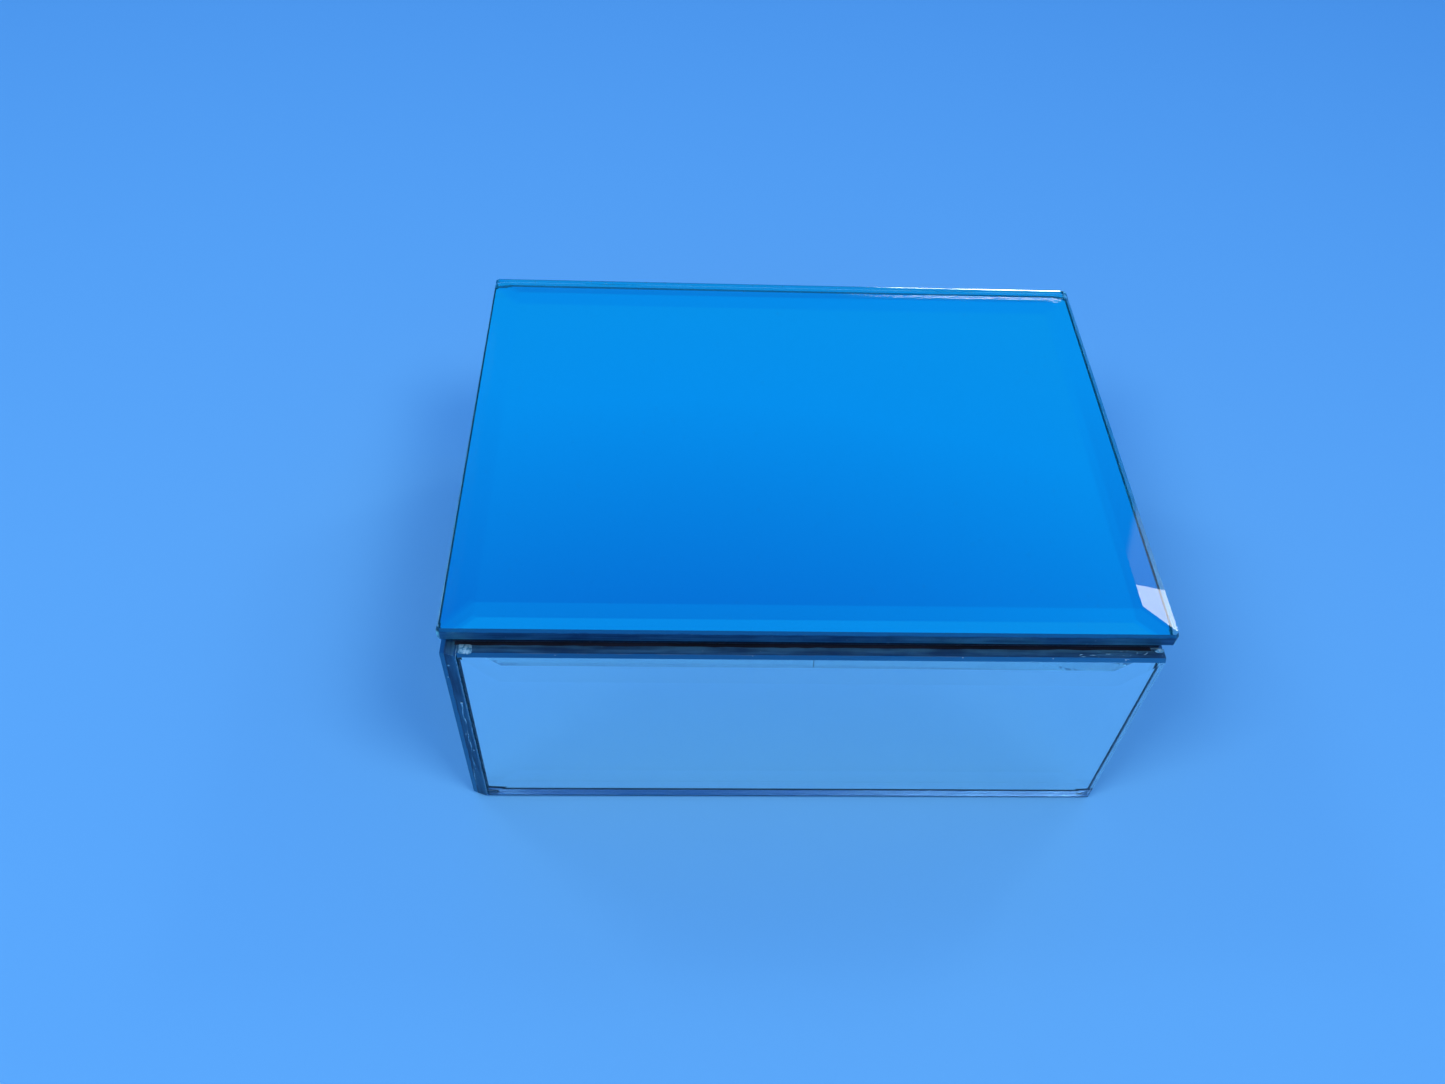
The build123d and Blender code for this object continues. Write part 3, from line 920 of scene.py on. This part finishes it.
def felt_under():
    """The felt under the base: one cut sheet with soft, slightly wavering edges."""
    low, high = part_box("base_felt")
    corner, count = 2.0 * MM, 6
    outline = []
    for cx, cy, first in (
        (high.x - corner, high.y - corner, 0),
        (low.x + corner, high.y - corner, 90),
        (low.x + corner, low.y + corner, 180),
        (high.x - corner, low.y + corner, 270),
    ):
        for k in range(count + 1):
            turn = math.radians(first + 90 * k / count)
            outline.append(Vector((cx + corner * math.cos(turn), cy + corner * math.sin(turn), 0)))
    fine = []
    for start, end in zip(outline, outline[1:] + outline[:1]):
        pieces = max(1, int((end - start).length / (2.5 * MM)))
        fine += [start + (end - start) * k / pieces for k in range(pieces)]
    middle = (low + high) / 2
    bm = bmesh.new()
    rings = []
    for z, inset in ((0.0, 0.45), (0.12, 0.15), (0.5, 0.0), (0.85, 0.1), (0.98, 0.35)):
        ring = []
        for place in fine:
            ragged = (inset + 0.25 + 0.25 * wander(place, 260.0, 2)) * MM
            inwards = Vector((middle.x - place.x, middle.y - place.y, 0)).normalized()
            ring.append(bm.verts.new(place + inwards * ragged + Vector((0, 0, low.z + z * MM))))
        rings.append(ring)
    join_rings(bm, rings, capped=True)
    mesh = mesh_from("felt_base_sheet", bm)
    made = piece("felt_base_sheet", mesh, "box", felt_material(), ("base_felt",))
    crisp(made, 60)


# ---------------------------------------------------------------- boards and hinges


def dress_plain_nodes():
    board = board_material()
    nickel, screw = nickel_material("nickel", 1.0), nickel_material("screw_nickel", 0.85)
    for name, node in nodes.items():
        if name.endswith("_board") and name != "lid_board":
            paint(node, board)
            soften(node, BOARD_EDGE)
        elif name.endswith(("_leaf", "_pin")):
            paint(node, nickel)
            soften(node, METAL_EDGE, 2)
    paint(nodes["hinge_screws"], screw)
    soften(nodes["hinge_screws"], SCREW_EDGE)


# ---------------------------------------------------------------- stage, lights and camera


def make_stage():
    made = Nodes("floor")
    made.set(Base_Color=FLOOR_COLOUR, Roughness=1.0)
    made.shader.inputs["Specular IOR Level"].default_value = 0.0
    bm = bmesh.new()
    bmesh.ops.create_circle(bm, cap_ends=True, radius=FLOOR_RADIUS, segments=96)
    mesh = bpy.data.meshes.new("floor")
    bm.to_mesh(mesh)
    bm.free()
    floor = bpy.data.objects.new("floor", mesh)
    bpy.context.scene.collection.objects.link(floor)
    paint(floor, made)


def soft_light(name, azimuth, elevation, size, radiance, roll):
    """A square softbox that looks at the box, as bright as radiance says."""
    a, e = math.radians(azimuth), math.radians(elevation)
    away = Vector((math.sin(a) * math.cos(e), math.cos(a) * math.cos(e), math.sin(e)))
    data = bpy.data.lights.new(name, "AREA")
    data.shape = "SQUARE"
    data.size = size
    data.energy = radiance * size * size * math.pi
    light = bpy.data.objects.new(name, data)
    light.location = away * LIGHT_DISTANCE
    light.rotation_mode = "QUATERNION"
    light.rotation_quaternion = away.to_track_quat("Z", "Y") @ Quaternion((0, 0, 1), math.radians(roll))
    bpy.context.scene.collection.objects.link(light)


def make_lights():
    for name, place in SOFTBOXES.items():
        soft_light(name, *place)


def make_world():
    """A plain blue surround for the mirrors, darker overhead, with a pale panel behind on the right."""
    world = bpy.data.worlds.new("studio")
    bpy.context.scene.world = world
    world.use_nodes = True
    tree = world.node_tree
    coord = tree.nodes.new("ShaderNodeTexCoord")
    split = tree.nodes.new("ShaderNodeSeparateXYZ")
    ramp = tree.nodes.new("ShaderNodeValToRGB")
    tree.links.new(coord.outputs["Generated"], split.inputs[0])
    tree.links.new(split.outputs["Z"], ramp.inputs[0])
    stops = ramp.color_ramp.elements
    stops[0].position, stops[0].color = WORLD_STOPS[0]
    stops[1].position, stops[1].color = WORLD_STOPS[-1]
    for position, colour in WORLD_STOPS[1:-1]:
        stops.new(position).color = colour
    inside = None
    for axis, (start, full) in PANEL_EDGES.items():
        edge = tree.nodes.new("ShaderNodeMapRange")
        edge.interpolation_type = "SMOOTHSTEP"
        edge.inputs["From Min"].default_value, edge.inputs["From Max"].default_value = start, full
        tree.links.new(split.outputs[axis], edge.inputs["Value"])
        if inside:
            tree.links.new(inside, edge.inputs["To Max"])
        inside = edge.outputs["Result"]
    mix = tree.nodes.new("ShaderNodeMix")
    mix.data_type = "RGBA"
    tree.links.new(inside, mix.inputs["Factor"])
    tree.links.new(ramp.outputs["Color"], mix.inputs["A"])
    mix.inputs["B"].default_value = PANEL_COLOUR
    tree.links.new(mix.outputs["Result"], tree.nodes["Background"].inputs["Color"])


def make_camera():
    low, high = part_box("front_mirror")
    width = high.x - low.x
    origin = Vector((low.x, low.y + BEVEL_DROP, low.z))
    data = bpy.data.cameras.new("camera")
    data.sensor_width = SENSOR
    data.lens = LENS
    data.clip_start = 0.01
    camera = bpy.data.objects.new("camera", data)
    bpy.context.scene.collection.objects.link(camera)
    back = -CAMERA_FORWARD.normalized()
    right = CAMERA_RIGHT.normalized()
    up = back.cross(right).normalized()
    right = up.cross(back)
    turned = Matrix((right, up, back)).transposed().to_4x4()
    camera.matrix_world = Matrix.Translation(origin + CAMERA_OFFSET * width) @ turned
    bpy.context.scene.camera = camera


def set_look():
    """Plain colours, and enough bounces for light that is trapped in the glass to get out again."""
    scene = bpy.context.scene
    scene.view_settings.view_transform = "Standard"
    scene.cycles.max_bounces = 56
    scene.cycles.glossy_bounces = 48
    scene.cycles.transmission_bounces = 32
    scene.cycles.diffuse_bounces = 4


base_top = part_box("base_board")[1].z
board_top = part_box("front_board")[1].z
mirror_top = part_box("front_mirror")[1].z
velvet = velvet_material()

dress_mirrors()
dress_plain_nodes()
corner_glue()
linings()
wrapped_lid_board()
velvet_pad("floor_pad_velvet", "floor_pad", "box", 1, FLOOR_CROWN)
velvet_pad("lid_pad_velvet", "lid_pad", "lid", -1, LID_CROWN)
felt_under()
make_stage()
make_lights()
make_world()
make_camera()
set_look()
